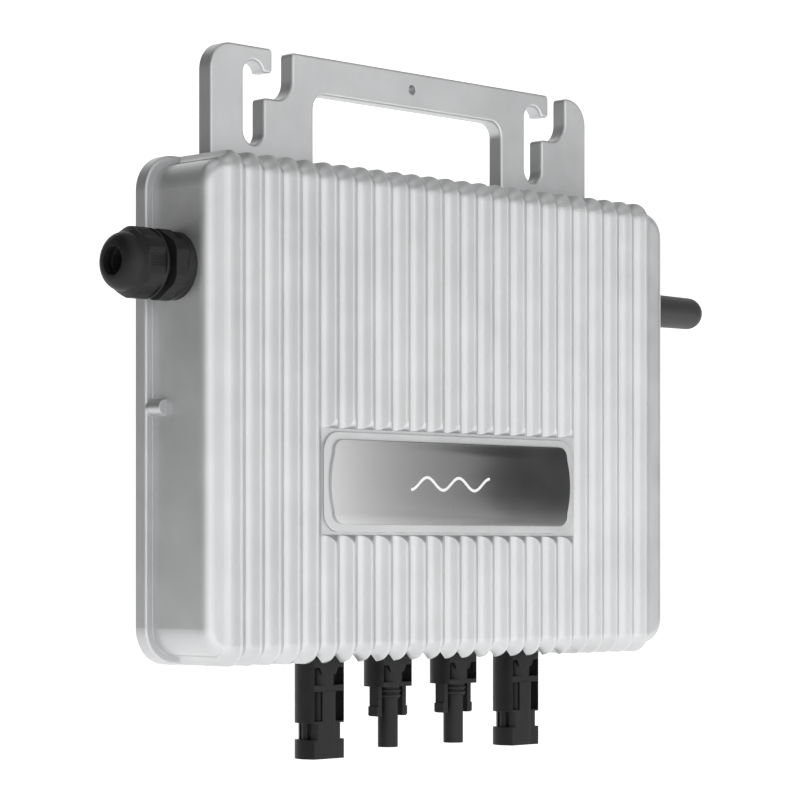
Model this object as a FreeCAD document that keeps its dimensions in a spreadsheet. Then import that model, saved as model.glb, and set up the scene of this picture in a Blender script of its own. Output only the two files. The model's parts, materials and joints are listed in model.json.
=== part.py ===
import FreeCAD, Part
import math
import os
import re
import Sketcher

doc = FreeCAD.newDocument("micro_inverter")
sheet = doc.addObject("Spreadsheet::Sheet", "Dims")

# Driving dimensions in millimetres. X runs to the right, Y to the rear, Z up.
# The rear face is Y = 0 and the middle of the housing's height is Z = 0.
dimensions = {
    "body_width": 256.6, "body_height": 180.8, "body_depth": 35.1,
    "corner_round": 10.3, "front_round": 4.3, "wall_thick": 3.0,
    "flange_lip": 3.5, "flange_thick": 5.5, "flange_round": 13.8,
    "fin_pitch": 9.44, "fin_count": 25, "fin_height": 3.5, "fin_width": 1.2,
    "fin_shift": -0.75, "fin_root": 6.0, "fin_soft": 0.5, "fin_lean": 47.0, "blade_depth": 7.3,
    "plate_zone_low": -45.9, "plate_zone_high": -5.9, "plate_zone_first": 5, "plate_zone_fins": 15,
    "plate_x": -1.05, "plate_width": 134.0, "plate_height": 32.0, "plate_thick": 1.2, "plate_pad": 1.0,
    "opening_half": 119.0, "opening_low": -84.0, "opening_high": 66.5,
    "seat_margin": 5.0, "seat_depth": 3.3, "cover_thick": 2.5, "gasket_thick": 0.8,
    "bracket_width": 210.0, "bracket_thick": 6.5, "bracket_top": 137.8, "bracket_foot": 75.0,
    "bracket_rear": -5.5, "bracket_shift": -0.9, "bracket_round": 10.5, "bracket_rim": 1.0, "hook_soft": 1.6,
    "window_half": 52.6, "window_top": 123.3, "window_low": 86.0, "window_round": 6.0,
    "hook_slot": 10.2, "hook_left": -84.3, "hook_span": 155.5, "hook_low": 105.8, "hook_high": 127.2,
    "hook_gap_low": 119.0, "hook_gap_high": 128.4, "entry_offset": 14.6, "entry_round": 8.0,
    "side_y": -18.1, "side_z": 51.5,
    "gland_bore": 10.5, "gland_thread": 20.0, "gland_flats": 24.0, "dome_size": 21.3,
    "dome_length": 15.6, "dome_hex": 10.2, "dome_round": 5.0,
    "gland_seal": 2.0, "gland_hex": 7.4, "gland_gap": 4.2, "gland_screw": 8.6,
    "aerial_root": 14.1, "aerial_tip": 13.5, "aerial_reach": 42.0,
    "plug_y": -17.6, "plug_shift": -0.75, "plug_pitch": 36.75, "plug_size": 19.0, "plug_flat": 11.0,
    "slot_reach": 7.7, "slot_core": 5.5, "mouth_bore": 8.6, "mouth_deep": 12.0, "latch_root": 14.35,
    "board_y": -11.5, "board_thick": 1.6, "board_half": 111.0, "board_low": -76.0, "board_high": 52.0,
}
for row, (alias, value) in enumerate(dimensions.items(), start=1):
    sheet.set("A%d" % row, alias)
    sheet.set("B%d" % row, str(value))
    sheet.setAlias("B%d" % row, alias)
doc.recompute()

nodes = {}          # node name -> document object


def size(alias):
    return float(sheet.get(alias))


def expression(text):
    """Names of the sheet's cells inside a formula get the sheet's own name in front."""
    if not isinstance(text, str):
        return str(float(text))
    return re.sub(r"\b([a-z]+(?:_[a-z]+)+)\b", r"Dims.\1", text)


def number(text):
    """The value of a formula now, worked out in a spare cell of the sheet."""
    if not isinstance(text, str):
        return float(text)
    sheet.set("D1", "=" + text)
    sheet.recompute()
    return float(sheet.get("D1"))


turns = {
    "x": FreeCAD.Rotation(FreeCAD.Vector(0, 1, 0), 90),
    "-x": FreeCAD.Rotation(FreeCAD.Vector(0, 1, 0), -90),
    "y": FreeCAD.Rotation(FreeCAD.Vector(1, 0, 0), -90),
    "-y": FreeCAD.Rotation(FreeCAD.Vector(1, 0, 0), 90),
    "z": FreeCAD.Rotation(),
    "-z": FreeCAD.Rotation(FreeCAD.Vector(1, 0, 0), 180),
}


def place(thing, at, axis="z"):
    thing.Placement = FreeCAD.Placement(FreeCAD.Vector(), turns[axis])
    for letter, value in zip("xyz", at):
        thing.setExpression("Placement.Base." + letter, expression(value))
    return thing


def box(length, width, height, at):
    thing = doc.addObject("Part::Box", "Block")
    for name, value in (("Length", length), ("Width", width), ("Height", height)):
        thing.setExpression(name, expression(value))
    return place(thing, at)


def cylinder(radius, height, at, axis="z"):
    thing = doc.addObject("Part::Cylinder", "Round")
    thing.setExpression("Radius", expression(radius))
    thing.setExpression("Height", expression(height))
    return place(thing, at, axis)


def cone(low, high, height, at, axis="z"):
    thing = doc.addObject("Part::Cone", "Taper")
    for name, value in (("Radius1", low), ("Radius2", high), ("Height", height)):
        thing.setExpression(name, expression(value))
    return place(thing, at, axis)


def prism(flats, height, at, axis="z"):
    """A hexagonal prism, its size given across the flats."""
    thing = doc.addObject("Part::Prism", "Hexagon")
    thing.Polygon = 6
    thing.setExpression("Circumradius", "(%s) / sqrt(3)" % expression(flats))
    thing.setExpression("Height", expression(height))
    return place(thing, at, axis)


def torus(ring, tube, at, axis="z"):
    thing = doc.addObject("Part::Torus", "Ring")
    thing.setExpression("Radius1", expression(ring))
    thing.setExpression("Radius2", expression(tube))
    return place(thing, at, axis)


def join(parts):
    if len(parts) == 1:
        return parts[0]
    thing = doc.addObject("Part::MultiFuse", "Joined")
    thing.Shapes = parts
    return thing


def cut(base, tools):
    thing = doc.addObject("Part::Cut", "Cut")
    thing.Base = base
    thing.Tool = join(tools)
    return thing


def common(first, second):
    thing = doc.addObject("Part::MultiCommon", "Shared")
    thing.Shapes = [first, second]
    return thing


def group(parts):
    """Identical pieces that stay separate solids in one node."""
    thing = doc.addObject("Part::Compound", "Group")
    thing.Links = parts
    return thing


def rounded(base, radius, chosen):
    """Round the edges that chosen(edge) picks."""
    doc.recompute()
    thing = doc.addObject("Part::Fillet", "Rounded")
    thing.Base = base
    amount = number(radius)
    picked = [i + 1 for i, edge in enumerate(base.Shape.Edges) if chosen(edge)]
    thing.Edges = [(i, amount, amount) for i in picked]
    return thing


def along(letter):
    """Picks straight edges that run along one axis."""
    def test(edge):
        if edge.Curve.TypeId != "Part::GeomLine":
            return False
        return abs(abs(getattr(edge.tangentAt(edge.FirstParameter), letter)) - 1) < 1e-6
    return test


def tube(outer, inner, length, at, axis):
    """A ring or pipe; the bore runs through both ends."""
    return cut(cylinder(outer, length, at, axis), [cylinder(inner, length, at, axis)])


def node(name, thing):
    thing.Label = name
    nodes[name] = thing
    return thing


# ---------------------------------------------------------------- housing

def origin_plane(body, role):
    for feature in body.Origin.OriginFeatures:
        if feature.Role == role:
            return feature
    raise RuntimeError(role)


def sketch_on(body, role, name, offset=0.0):
    sketch = body.newObject("Sketcher::SketchObject", name)
    sketch.AttachmentSupport = (origin_plane(body, role), [""])
    sketch.MapMode = "FlatFace"
    if offset:
        sketch.setExpression("AttachmentOffset.Base.z", expression(offset))
    return sketch


def rectangle(sketch, left, low, right, high):
    """A rectangle whose four sides are held at formulas from the sketch's axes."""
    points = [(left, low), (right, low), (right, high), (left, high)]
    corners = [FreeCAD.Vector(number(u), number(v), 0) for u, v in points]
    first = sketch.GeometryCount
    for i in range(4):
        sketch.addGeometry(Part.LineSegment(corners[i], corners[(i + 1) % 4]), False)
    for i in range(4):
        sketch.addConstraint(Sketcher.Constraint("Coincident", first + i, 2, first + (i + 1) % 4, 1))
        sketch.addConstraint(Sketcher.Constraint("Horizontal" if i % 2 == 0 else "Vertical", first + i))
    held = (("DistanceX", 0, left), ("DistanceY", 0, low), ("DistanceX", 2, right), ("DistanceY", 2, high))
    for kind, corner, formula in held:
        value = number(formula)
        index = sketch.addConstraint(Sketcher.Constraint(kind, -1, 1, first + corner, 1, value))
        sketch.setExpression("Constraints[%d]" % index, expression(formula))


def pad(body, sketch, length, name, reverse=False):
    feature = body.newObject("PartDesign::Pad", name)
    feature.Profile = sketch
    feature.setExpression("Length", expression(length))
    feature.Reversed = reverse
    return feature


def fillet(body, base, radius, name, chosen):
    doc.recompute()
    picked = ["Edge%d" % (i + 1) for i, edge in enumerate(base.Shape.Edges) if chosen(edge)]
    feature = body.newObject("PartDesign::Fillet", name)
    feature.Base = (base, picked)
    feature.setExpression("Radius", expression(radius))
    return feature


def fin_side(reach):
    """Half of a fin in cross-section, from the crest down to the floor, or to its neighbour at reach."""
    dip = 0.06                          # the root ends just below the floor, so that the two surfaces cross
    height = size("fin_height")
    root = size("fin_root")
    soft = size("fin_soft")
    lean = math.radians(size("fin_lean"))
    crest = size("fin_width") / 2 - soft * math.tan(lean / 2)
    low = root * (1 - math.cos(lean)) - dip
    centre = size("fin_width") / 2 + (height - low) / math.tan(lean) + root * math.sin(lean)

    def shoulder(turn):
        return crest + soft * math.sin(turn), height - soft * (1 - math.cos(turn))

    def foot(turn):
        return centre - root * math.sin(turn), root * (1 - math.cos(turn)) - dip

    last = math.asin(max(0.0, centre - reach) / root)
    return [shoulder(0), shoulder(lean / 2), shoulder(lean), foot(lean), foot((lean + last) / 2), foot(last)]


def fin_row():
    """Cross-section of the whole row of fins as one face: X across, Y away from the wall."""
    bury = -2.2
    count = int(size("fin_count"))
    pitch = size("fin_pitch")
    first = size("fin_shift") - (count - 1) / 2 * pitch
    edges = []
    ends = []
    for i in range(count):
        middle = first + i * pitch
        left = fin_side(1000 if i == 0 else pitch / 2)
        right = fin_side(1000 if i == count - 1 else pitch / 2)
        up = [FreeCAD.Vector(middle - u, v, 0) for u, v in reversed(left)]
        down = [FreeCAD.Vector(middle + u, v, 0) for u, v in right]
        edges += [
            Part.Arc(up[0], up[1], up[2]), Part.LineSegment(up[2], up[3]), Part.Arc(up[3], up[4], up[5]),
            Part.LineSegment(up[5], down[0]),
            Part.Arc(down[0], down[1], down[2]), Part.LineSegment(down[2], down[3]),
            Part.Arc(down[3], down[4], down[5]),
        ]
        ends += [up[0], down[5]]
    low_right = FreeCAD.Vector(ends[-1].x, bury, 0)
    low_left = FreeCAD.Vector(ends[0].x, bury, 0)
    edges += [Part.LineSegment(ends[-1], low_right), Part.LineSegment(low_right, low_left),
              Part.LineSegment(low_left, ends[0])]
    return Part.Face(Part.Wire([edge.toShape() for edge in edges]))


def fin_comb():
    """The row of fins carried over the top, down the front and back underneath; no primitive gives it."""
    rear = -size("flange_thick") + 1.0
    front = -size("body_depth")
    high = size("body_height") / 2
    turn = size("front_round")
    across = FreeCAD.Vector(1, 0, 0)
    face = fin_row()
    face.rotate(FreeCAD.Vector(0, 0, 0), across, 90)
    face.translate(FreeCAD.Vector(0, rear, high))
    pieces = [face.extrude(FreeCAD.Vector(0, front + turn - rear, 0))]
    face.translate(FreeCAD.Vector(0, front + turn - rear, 0))
    down_the_front = FreeCAD.Vector(0, 0, 2 * turn - 2 * high)
    back_underneath = FreeCAD.Vector(0, rear - front - turn, 0)
    for sign, run in ((1, down_the_front), (-1, back_underneath)):
        centre = FreeCAD.Vector(0, front + turn, sign * (high - turn))
        pieces.append(face.revolve(centre, across, 90))
        face.rotate(centre, across, 90)
        pieces.append(face.extrude(run))
        face.translate(run)
    thing = doc.addObject("Part::Feature", "FinComb")
    thing.Shape = pieces[0].multiFuse(pieces[1:]).removeSplitter()
    thing.Placement = FreeCAD.Placement()
    return thing


def zone_edge(index):
    """X of the middle of the valley in front of fin number index."""
    return "fin_shift + fin_pitch * (%d - fin_count / 2)" % index


def plate_zone_cut():
    """Clears the fins where the name plate sits; the fins' ends are left rounded."""
    low = size("plate_zone_low")
    high = size("plate_zone_high")
    floor = -size("body_depth")
    tall = size("fin_height")
    out = floor - tall - 1.0
    soft = tall * (1 - math.sqrt(0.5))
    points = [
        (floor, low), (floor, high), (floor - tall * math.sqrt(0.5), high + soft),
        (floor - tall, high + tall), (out, high + tall), (out, low - tall), (floor - tall, low - tall),
        (floor - tall * math.sqrt(0.5), low - soft),
    ]
    at = [FreeCAD.Vector(0, y, z) for y, z in points]
    edges = [
        Part.LineSegment(at[0], at[1]), Part.Arc(at[1], at[2], at[3]), Part.LineSegment(at[3], at[4]),
        Part.LineSegment(at[4], at[5]), Part.LineSegment(at[5], at[6]), Part.Arc(at[6], at[7], at[0]),
    ]
    face = Part.Face(Part.Wire([edge.toShape() for edge in edges]))
    left = number(zone_edge(int(size("plate_zone_first"))))
    width = size("plate_zone_fins") * size("fin_pitch")
    face.translate(FreeCAD.Vector(left, 0, 0))
    thing = doc.addObject("Part::Feature", "PlateZone")
    thing.Shape = face.extrude(FreeCAD.Vector(width, 0, 0))
    thing.Placement = FreeCAD.Placement()
    return thing


def housing_blank():
    """The plain casting: box, rounded front rim and rear flange, made in one PartDesign body."""
    body = doc.addObject("PartDesign::Body", "HousingBlank")
    outline = sketch_on(body, "XZ_Plane", "BoxOutline")
    rectangle(outline, "-body_width / 2", "-body_height / 2", "body_width / 2", "body_height / 2")
    block = pad(body, outline, "body_depth", "BoxPad")
    corners = fillet(body, block, "corner_round", "BoxCorners", along("y"))
    doc.recompute()
    front = -size("body_depth")
    rim = fillet(body, corners, "front_round", "FrontRim",
                 lambda edge: abs(edge.BoundBox.YMax - front) < 1e-6)
    doc.recompute()
    lip = sketch_on(body, "XZ_Plane", "FlangeOutline")
    rectangle(lip, "-body_width / 2 - flange_lip", "-body_height / 2 - flange_lip",
              "body_width / 2 + flange_lip", "body_height / 2 + flange_lip")
    flange = pad(body, lip, "flange_thick", "FlangePad")
    doc.recompute()
    reach = size("body_width") / 2 + size("flange_lip")
    round_corners = fillet(body, flange, "flange_round", "FlangeCorners",
                           lambda edge: along("y")(edge) and abs(abs(edge.BoundBox.XMax) - reach) < 1e-6)
    doc.recompute()
    face_y = -size("flange_thick")
    fillet(body, round_corners, "1.0", "FlangeRim",
           lambda edge: abs(edge.BoundBox.YMax - face_y) < 1e-6 and abs(edge.BoundBox.YMin - face_y) < 1e-6
           and edge_outside(edge))
    doc.recompute()
    return body


def edge_outside(edge):
    """True for an edge of the flange's outer outline."""
    middle = edge.valueAt((edge.FirstParameter + edge.LastParameter) / 2)
    past_x = size("body_width") / 2 + 0.5
    past_z = size("body_height") / 2 + 0.5
    return abs(middle.x) > past_x or abs(middle.z) > past_z


def bracket_pocket():
    return box("bracket_width + 0.3", "bracket_thick + 0.1", 40,
               ["bracket_shift - bracket_width / 2 - 0.15", "bracket_rear - bracket_thick - 0.1",
                "bracket_foot - 0.1"])


def plug_recess():
    """Under the box the fins stop short behind the front, and the flange is cut away for the plugs."""
    return box("fin_pitch * plate_zone_fins", "body_depth", 12,
               [zone_edge(5), "-body_depth - fin_height + blade_depth", "-body_height / 2 - 12"])


def casting_cuts():
    """Hollow, seat for the gasket and cover, pocket for the bracket, and all the holes in the walls."""
    deep = "body_depth - wall_thick"
    tools = [
        box("opening_half * 2", deep + " + 1", "opening_high - opening_low",
            ["-opening_half", "-body_depth + wall_thick", "opening_low"]),
        # a forward part of the hollow reaches up in front of the bracket's pocket
        box("opening_half * 2", deep + " - 15.3", "body_height / 2 - wall_thick - opening_high + 5",
            ["-opening_half", "-body_depth + wall_thick", "opening_high - 5"]),
        rounded(box("(opening_half + seat_margin) * 2", "seat_depth + 1",
                    "opening_high - opening_low + seat_margin * 2",
                    ["-opening_half - seat_margin", "-seat_depth", "opening_low - seat_margin"]),
                5, along("y")),
        bracket_pocket(), plug_recess(),
        cylinder("gland_thread / 2 + 0.1", 12, ["-body_width / 2 - 1", "side_y", "side_z"], "x"),
        cylinder(6.1, 12, ["body_width / 2 - 11", "side_y", "side_z"], "x"),
    ]
    tools += plug_holes()
    tools += [cylinder(1.5, 5.6, [x, "bracket_rear - 0.1", z], "y") for x, z in bracket_screw_places()]
    tools += [cone(1.5, 3.1, 1.6, [x, -1.6, z], "y") for x, z in bracket_screw_places()]
    return tools


def plug_holes():
    return [cylinder(8.1, 10, [plug_x(i), "plug_y", "-body_height / 2 - 1"]) for i in range(4)]


def screw_posts():
    """Posts inside for the cover's screws and for the board's."""
    foot = "-body_depth + wall_thick - 0.1"
    cover = [cut(cylinder(3.8, "body_depth - wall_thick - cover_thick - 0.1", [x, foot, z], "y"),
                 [cylinder(1.25, 14, [x, -15.9, z], "y")]) for x, z in cover_screw_places()]
    board = [cut(cylinder(3.2, "body_depth - wall_thick + board_y + 0.1", [x, foot, z], "y"),
                 [cylinder(1.2, 8, [x, "board_y - 8", z], "y")]) for x, z in board_screw_places()]
    return cover + board


def finned_housing():
    casting = cut(join([housing_blank()] + side_bosses()), casting_cuts())
    tools = [plate_zone_cut(), bracket_pocket(), plug_recess(), fin_clearance()]
    fins = cut(fin_comb(), tools + plug_holes())
    node("finned_housing", join([casting, fins, plate_pad()] + screw_posts()))


def fin_clearance():
    """Keeps the fins' buried feet out of the hollow."""
    return box("opening_half * 2", "body_depth", "body_height - wall_thick * 2",
               ["-opening_half", "-body_depth + wall_thick", "-body_height / 2 + wall_thick"])


def plate_block(grow, thick, start, corner):
    """A flat block with rounded corners, centred where the name plate goes."""
    middle = "(plate_zone_low + plate_zone_high) / 2"
    at = ["plate_x - plate_width / 2 - (%s)" % grow, "-body_depth - (%s) - (%s)" % (start, thick),
          "%s - plate_height / 2 - (%s)" % (middle, grow)]
    wide = "plate_width + 2 * (%s)" % grow
    high = "plate_height + 2 * (%s)" % grow
    return rounded(box(wide, thick, high, at), corner, along("y"))


def plate_pad():
    """The raised pad of the casting that carries the name plate."""
    return plate_block("2.8", "plate_pad + 0.5", "-0.5", 7.5)


def side_bosses():
    """Small screw bosses on the flange: at half height on each side and near the lower left corner."""
    places = [("-body_width / 2 - 0.4", 0.5), ("body_width / 2 + 0.4", 0.5),
              ("-body_width / 2 + 16.6", "-body_height / 2 - 0.4"),
              ("body_width / 2 - 16.6", "-body_height / 2 - 0.4")]
    return [cylinder(2.9, 8, [x, "-flange_thick - 7.5", z], "y") for x, z in places]


def plug_x(index):
    return "plug_shift + plug_pitch * (%g)" % (index - 1.5)


def cover_screw_places():
    low = [(x, "opening_low + 3") for x in (-116, -36, 36, 116)]
    high = [(x, "opening_high - 3") for x in (-100, -33, 33, 100)]
    middle = [(x, "(opening_low + opening_high) / 2") for x in (-116, 116)]
    return low + high + middle


def board_screw_places():
    return [(x, z) for x in (-104, 0, 104) for z in (-68, 46)]


def bracket_screw_places():
    return [("bracket_shift - bracket_width / 2 + %g" % x, 80) for x in (16, 76, 134, 194)]


def rear_cover():
    plate = rounded(box("(opening_half + seat_margin) * 2 - 0.5", "cover_thick",
                        "opening_high - opening_low + seat_margin * 2 - 0.5",
                        ["-opening_half - seat_margin + 0.25", "-cover_thick",
                         "opening_low - seat_margin + 0.25"]), 4.8, along("y"))
    raised = rounded(box("opening_half * 2 - 24", 1.2, "opening_high - opening_low - 24",
                         ["-opening_half + 12", "-cover_thick - 1.15", "opening_low + 12"]), 6, along("y"))
    holes = [cylinder(1.7, 6, [x, -4, z], "y") for x, z in cover_screw_places()]
    sinks = [cone(1.7, 3.2, 1.5, [x, -1.6, z], "y") for x, z in cover_screw_places()]
    node("rear_cover", cut(join([plate, raised]), holes + sinks))


def cover_gasket():
    outer = rounded(box("opening_half * 2 + 9", "gasket_thick", "opening_high - opening_low + 9",
                        ["-opening_half - 4.5", "-cover_thick - gasket_thick", "opening_low - 4.5"]),
                    4.5, along("y"))
    inner = box("opening_half * 2 + 1", "gasket_thick + 2", "opening_high - opening_low + 1",
                ["-opening_half - 0.5", "-cover_thick - 1 - gasket_thick", "opening_low - 0.5"])
    posts = [cylinder(3.9, 3, [x, "-cover_thick - gasket_thick - 1", z], "y")
             for x, z in cover_screw_places()]
    node("cover_gasket", cut(outer, [inner] + posts))


def countersunk_screw(x, z, rear, shank, length, head):
    """A countersunk screw driven from the rear, with a hexagonal socket in its head."""
    body = join([cylinder(shank, "%s - 0.5" % length, [x, "%s - %s" % (rear, length), z], "y"),
                 cone(shank, head, "%s - %s" % (head, shank), [x, "%s - %s + %s" % (rear, head, shank), z], "y")])
    return cut(body, [prism(2.0, 1.3, [x, "%s - 1.0" % rear, z], "y")])


def screws():
    node("cover_screws", group([countersunk_screw(x, z, "-0.2", 1.2, 11, 2.6)
                                for x, z in cover_screw_places()]))
    node("bracket_screws", group([countersunk_screw(x, z, "-0.1", 1.4, 10, 2.9)
                                  for x, z in bracket_screw_places()]))


def hook_tools(middle, start, depth):
    """Cuts one hook slot: a tall slot, a passage to its right and an entry down from the top edge."""
    entry = middle + " + entry_offset"
    round_middle = entry + " + hook_slot / 2 - entry_round"
    return [
        box("hook_slot", depth, "hook_high - hook_low", [middle + " - hook_slot / 2", start, "hook_low"]),
        cylinder("hook_slot / 2", depth, [middle, start, "hook_low"], "y"),
        cylinder("hook_slot / 2", depth, [middle, start, "hook_high"], "y"),
        # the passage runs a little under the entry's round, so that no sliver is left between them
        box("entry_offset + hook_slot / 2 - entry_round + 0.4", depth, "hook_gap_high - hook_gap_low",
            [middle, start, "hook_gap_low"]),
        box("hook_slot", depth, 20, [entry + " - hook_slot / 2", start, "hook_gap_low + entry_round"]),
        common(cylinder("entry_round", depth, [round_middle, start, "hook_gap_low + entry_round"], "y"),
               box("entry_round", depth, "entry_round", [round_middle, start, "hook_gap_low"])),
    ]


def hook_corner(edge):
    """True for the outward corners of the two hook slots."""
    if not along("y")(edge):
        return False
    slot = size("hook_slot") / 2
    corners = [(slot, "hook_gap_low"), (size("entry_offset") - slot, "hook_gap_high"),
               (size("entry_offset") - slot, "bracket_top"), (size("entry_offset") + slot, "bracket_top")]
    for middle in (size("hook_left"), size("hook_left") + size("hook_span")):
        for out, level in corners:
            if math.hypot(edge.CenterOfMass.x - middle - out, edge.CenterOfMass.z - size(level)) < 0.1:
                return True
    return False


def mounting_bracket():
    """Hanging plate with a hand window, a small hole and two hook slots of the same hand."""
    front = "bracket_rear - bracket_thick"
    past = front + " - 1"
    depth = "bracket_thick + 2"
    plate = rounded(box("bracket_width", "bracket_thick", "bracket_top - bracket_foot",
                        ["bracket_shift - bracket_width / 2", front, "bracket_foot"]),
                    "bracket_round", lambda edge: along("y")(edge) and edge.CenterOfMass.z > size("window_top"))
    window = rounded(box("window_half * 2", depth, "window_top - window_low",
                         ["bracket_shift - window_half", past, "window_low"]), "window_round", along("y"))
    tools = [window]
    for slot in ("hook_left", "hook_left + hook_span"):
        tools += hook_tools(slot, past, depth)
    soft = rounded(cut(plate, tools), "hook_soft", hook_corner)
    front_y = number(front)
    rimmed = rounded(soft, "bracket_rim", lambda edge: abs(edge.BoundBox.YMax - front_y) < 1e-6)
    holes = [cylinder(1.45, 5.2, [x, "bracket_rear - 5.1", z], "y") for x, z in bracket_screw_places()]
    ground = cylinder(1.95, depth, ["bracket_shift + 0.9", past, 130.9], "y")
    node("mounting_bracket", cut(rimmed, holes + [ground]))


def name_plate():
    """A thin plate with rounded corners, stuck on its pad."""
    node("name_plate", plate_block("0", "plate_thick", "plate_pad", 5))


# ---------------------------------------------------------------- cable gland on the left side

def gland_at(out):
    """A point on the gland's axis, out millimetres from the housing's left wall."""
    return ["-body_width / 2 - (%s)" % out, "side_y", "side_z"]


def gland_round(radius, start, length):
    return cylinder(radius, length, gland_at(start), "-x")


def gland_body():
    """Round collar on the seal, hexagon, and a thread at each end."""
    hex_start = "gland_seal + 1.7"
    thread_start = "gland_seal + gland_hex"
    node("gland_seal_ring", cut(gland_round(12.4, "0", "gland_seal"), [gland_round(10.15, "-1", 6)]))
    body = join([
        gland_round(12.4, "gland_seal", 1.75),
        common(prism("gland_flats", "gland_hex - 1.7", gland_at(hex_start), "-x"),
               gland_round("gland_flats / 2 + 0.9", hex_start, "gland_hex - 1.7")),
        gland_round("gland_thread / 2", "-15", "15 + gland_seal + 1"),
        gland_round("gland_screw", thread_start, "gland_gap + 8"),
    ])
    node("gland_body", cut(body, [
        gland_round(6.3, "-16", 50),
        gland_round(7.6, thread_start + " + 2", 20),
    ]))
    node("gland_locknut", cut(prism("gland_flats", 4.5, gland_at("opening_half - body_width / 2 - 4.5"), "-x"),
                              [gland_round("gland_thread / 2 + 0.05", "-20", 20)]))


def gland_slit(turn, out, length):
    """A slab through the gland's axis, turned about it; out is where its outer end lies."""
    thick = 1.0
    wide = 20.0
    rotation = FreeCAD.Rotation(FreeCAD.Vector(1, 0, 0), turn)
    corner = rotation.multVec(FreeCAD.Vector(0, -thick / 2, -wide / 2))
    slab = box(length, thick, wide, [0, 0, 0])
    slab.Placement = FreeCAD.Placement(FreeCAD.Vector(), rotation)
    x, y, z = gland_at(out)
    for letter, value in (("x", x), ("y", "%s + (%.6f)" % (y, corner.y)), ("z", "%s + (%.6f)" % (z, corner.z))):
        slab.setExpression("Placement.Base." + letter, expression(value))
    return slab


def gland_inside():
    """Rubber insert and the six soft fingers that close on it."""
    start = "gland_seal + gland_hex"
    claw = cut(gland_round(7.4, start + " + 3", "gland_gap + 9"), [gland_round(6.5, "gland_seal", 40)])
    node("gland_claw", cut(claw, [gland_slit(turn, start + " + gland_gap + 12.4", 9) for turn in (0, 60, 120)]))
    node("gland_insert", cut(gland_round(6.45, start + " + 3.2", "gland_gap + 8.6"),
                             [gland_round("gland_bore / 2 - 0.6", "gland_seal", 40)]))


def gland_dome():
    """Cap nut: a lip, a hexagon with truncated corners and a round nose; a thin ring slides inside it."""
    start = "gland_seal + gland_hex + gland_gap"
    end = start + " + dome_length"
    corner = "gland_flats / 2 + 0.9"
    node("gland_thrust_ring", cut(gland_round(8.3, end + " - 3.4", 0.8), [gland_round(6.0, "0", 60)]))
    turned = join([gland_round(corner, start, "dome_hex - 2.4"),
                   cone(corner, "dome_size / 2", 2.4, gland_at(start + " + dome_hex - 2.4"), "-x")])
    flats = common(turned, prism("gland_flats", "dome_hex", gland_at(start), "-x"))
    nose = rounded(gland_round("dome_size / 2", start, "dome_length"), "dome_round",
                   lambda edge: edge.CenterOfMass.x < -number(end) - size("body_width") / 2 + 0.5)
    node("gland_dome_nut", cut(join([flats, nose, gland_round(corner, start, 0.8)]), [
        gland_round(9.05, start + " - 1", "dome_length - 6.6 + 1"),
        gland_round(8.5, start, "dome_length - 2.4"),
        gland_round("gland_bore / 2", start, "dome_length + 2"),
    ]))


# ---------------------------------------------------------------- aerial on the right side

def aerial_at(out):
    return ["body_width / 2 + (%s)" % out, "side_y", "side_z"]


def aerial_round(radius, start, length):
    return cylinder(radius, length, aerial_at(start), "x")


def aerial():
    bush = join([aerial_round(8.6, "0", 3), aerial_round(6.0, "-14", 14.5), aerial_round(3.1, "2.5", 7.5)])
    node("aerial_bush", cut(bush, [aerial_round(0.75, "-15", 30)]))
    node("aerial_nut", cut(prism(17, 3.4, aerial_at("opening_half - body_width / 2 - 3.4"), "x"),
                           [aerial_round(6.05, "-20", 20)]))
    node("aerial_o_ring", cut(aerial_round(4.6, "3.1", 1.3), [aerial_round(3.2, "0", 10)]))
    straight = "aerial_reach - aerial_tip / 2"
    taper = cone("aerial_root / 2", "aerial_tip / 2", straight + " - 3.3", aerial_at("3.3"), "x")
    nose = doc.addObject("Part::Sphere", "AerialNose")
    nose.setExpression("Radius", expression("aerial_tip / 2"))
    place(nose, aerial_at(straight))
    node("aerial_cover", cut(join([taper, nose]), [
        aerial_round(4.9, "3", 1.6), aerial_round(3.2, "4", 6.5), aerial_round(1.3, "10", 24)]))
    node("aerial_rod", join([aerial_round(0.7, "-15.1", 26.2), aerial_round(1.1, "11", 20)]))


# ---------------------------------------------------------------- plug connectors underneath

def plug_at(index, down):
    return [plug_x(index), "plug_y", "-body_height / 2 - (%s)" % down]


def plug_round(index, radius, start, length):
    return cylinder(radius, length, plug_at(index, start), "-z")


def plug_slab(index, width, depth, start, length, shift=0.0):
    """A block on the plug's axis; shift moves it along X."""
    at = ["%s - (%s) / 2 + (%g)" % (plug_x(index), width, shift), "plug_y - (%s) / 2" % depth,
          "-body_height / 2 - (%s) - (%s)" % (start, length)]
    return box(width, depth, length, at)


def flat_round(index, radius, start, length):
    """A round section with a flat at the front and at the rear."""
    return common(plug_round(index, radius, start, length),
                  plug_slab(index, "plug_size + 2", "plug_flat", start, length))


def plug_neck(index):
    """The threaded neck through the wall and the round seat against it."""
    return [plug_round(index, 8.0, "-10", 11.7), plug_round(index, 9.2, 1.2, 1.6)]


def plug_grooves(index, start, length, core):
    """Cuts the front, the rear and both sides back to a round core between two cheeks."""
    return cut(plug_slab(index, "slot_reach * 2", "plug_size", start, length),
               [plug_round(index, core, start, length)])


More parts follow.
